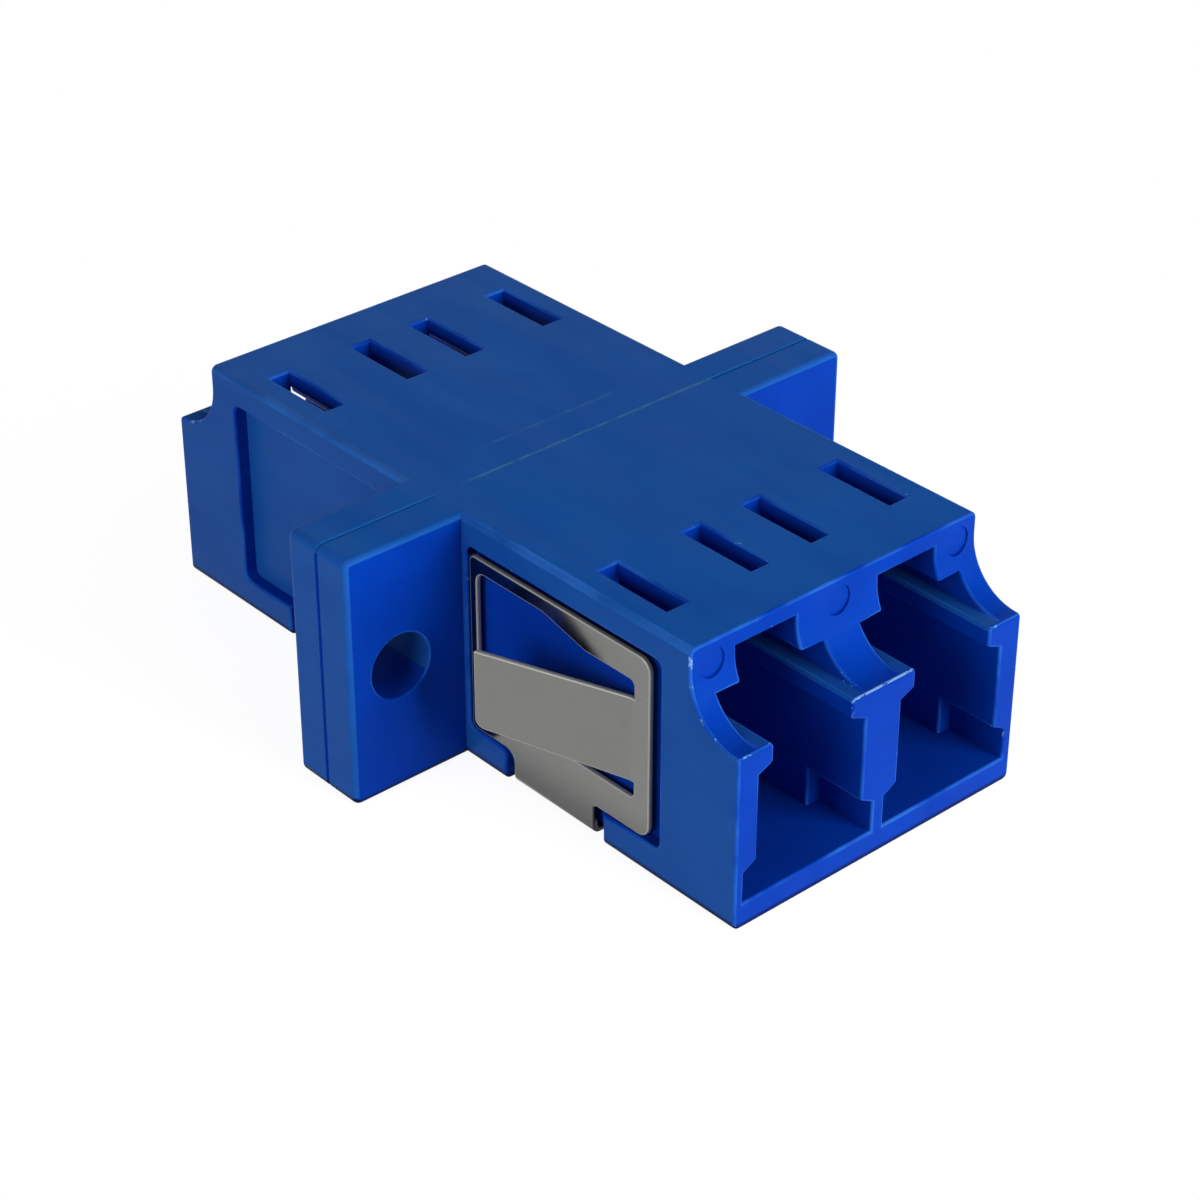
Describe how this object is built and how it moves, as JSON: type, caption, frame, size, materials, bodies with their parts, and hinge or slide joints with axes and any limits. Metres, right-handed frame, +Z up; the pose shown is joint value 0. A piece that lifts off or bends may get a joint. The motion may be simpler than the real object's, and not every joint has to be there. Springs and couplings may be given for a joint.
{
  "type": "duplex fibre optic adapter",
  "caption": "Flanged duplex fibre adapter that joins two pairs of small latched plugs end to end, with a spring clip for a panel cut-out.",
  "frame": {"origin": "middle of the underside, in the parting plane between the two housing halves", "axes": "+X across the panel flange, -Y out of the front ports (the half with the clip), +Z up, towards the latch windows"},
  "size_m": [0.0222, 0.0292, 0.0094],
  "materials": {
    "housing": "fine moulded satin, mid blue",
    "clip_steel": "rolled stainless sheet",
    "zirconia": "ground white ceramic"
  },
  "bodies": {
    "root": {"front_housing": "housing", "rear_housing": "housing", "spring_clip": "clip_steel", "split_sleeve_left": "zirconia", "split_sleeve_right": "zirconia"}
  },
  "joints": []
}
